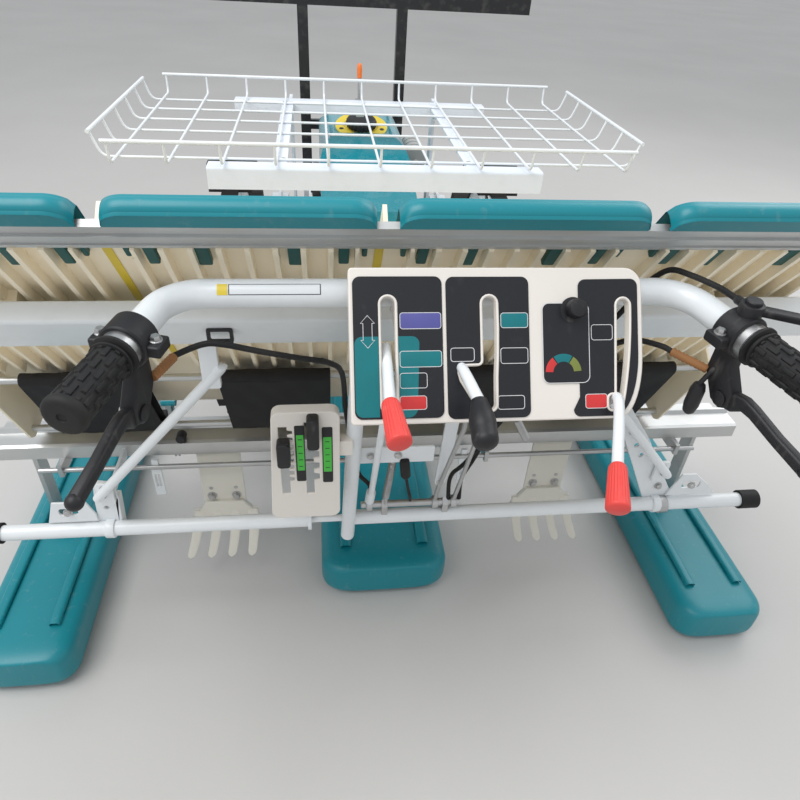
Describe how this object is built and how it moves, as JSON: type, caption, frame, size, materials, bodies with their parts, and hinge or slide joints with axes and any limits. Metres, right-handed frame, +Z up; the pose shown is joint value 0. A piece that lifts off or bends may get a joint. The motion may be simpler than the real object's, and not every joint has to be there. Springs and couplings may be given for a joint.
{
  "type": "walk-behind rice transplanter",
  "caption": "Walk-behind rice transplanter with a leaning seedling table over floats, planting arms, lugged paddle wheels, a front engine, a wire tray rack and a rear handle with a lever panel.",
  "frame": {"origin": "middle of the bounding box, on the ground under the machine", "axes": "+X to the right of someone walking behind it, +Y to the front, where the engine is, +Z up"},
  "size_m": [1.486, 1.911, 0.962],
  "materials": {
    "white_paint": "semi-gloss off-white paint",
    "cream_plastic": "moulded cream plastic",
    "teal_plastic": "moulded teal plastic",
    "teal_paint": "gloss teal paint",
    "black_paint": "satin black paint",
    "black_rubber": "black rubber",
    "lug_rubber": "black rubber",
    "black_plastic": "black plastic",
    "red_plastic": "coral red plastic",
    "grey_cast": "grey painted casting",
    "engine_metal": "dark engine castings",
    "bright_steel": "zinc plated steel",
    "rail_aluminium": "plain aluminium extrusion",
    "silver_paint": "heat proof silver paint"
  },
  "bodies": {
    "chassis": {"main_frame": "white_paint", "transmission": "grey_cast", "engine": "engine_metal", "muffler": "silver_paint", "bonnet": "teal_paint", "fuel_cap": "black_plastic", "front_guard": "black_paint", "rack_frame": "white_paint", "rack_basket": "white_paint", "centre_marker": "bright_steel", "wheel_arms": "white_paint", "lift_cylinder": "bright_steel", "planter_case": "grey_cast", "lower_rail": "rail_aluminium", "seedling_gates": "black_plastic", "feed_shafts": "bright_steel", "support_channel": "white_paint", "rear_bar": "white_paint", "bar_caps": "black_rubber", "rear_brackets": "white_paint", "handle": "white_paint", "grips": "black_rubber", "clutch_levers": "black_plastic", "panel": "white_paint", "panel_labels": "black_plastic", "red_knobs": "red_plastic", "black_knobs": "black_plastic", "adjuster_plate": "white_paint", "soil_combs": "cream_plastic", "centre_float": "teal_plastic", "side_floats": "teal_plastic", "float_brackets": "bright_steel", "control_linkage": "bright_steel", "control_cables": "black_rubber"},
    "wheel_left": {"wheel_left": "white_paint", "lugs_left": "lug_rubber"},
    "wheel_right": {"wheel_right": "white_paint", "lugs_right": "lug_rubber"},
    "seedling_table": {"seedling_table": "cream_plastic", "mat_dividers": "cream_plastic", "extension_plates": "teal_plastic", "table_rail": "rail_aluminium", "feed_belts": "black_rubber"},
    "planting_cranks": {"planting_cranks": "bright_steel"},
    "planting_arms": {"planting_arms": "teal_paint", "planting_claws": "bright_steel"}
  },
  "joints": [
    {"name": "wheel_left_spin", "type": "hinge", "parent": "chassis", "child": "wheel_left", "pos_m": [-0.325, 0.21954, 0.33], "axis": [1, 0, 0], "continuous": true},
    {"name": "wheel_right_spin", "type": "hinge", "parent": "chassis", "child": "wheel_right", "pos_m": [0.325, 0.21954, 0.33], "axis": [1, 0, 0], "continuous": true},
    {"name": "table_slide", "type": "slide", "parent": "chassis", "child": "seedling_table", "axis": [1, 0, 0], "range_m": [-0.094, 0.186]},
    {"name": "crank_spin", "type": "hinge", "parent": "chassis", "child": "planting_cranks", "pos_m": [0, -0.17046, 0.29], "axis": [1, 0, 0], "continuous": true},
    {"name": "arm_turn", "type": "hinge", "parent": "planting_cranks", "child": "planting_arms", "pos_m": [0, -0.15046, 0.32464], "axis": [1, 0, 0], "continuous": true}
  ],
  "couplings": [
    {"joint": "arm_turn", "follows": "crank_spin", "ratio": -1}
  ]
}
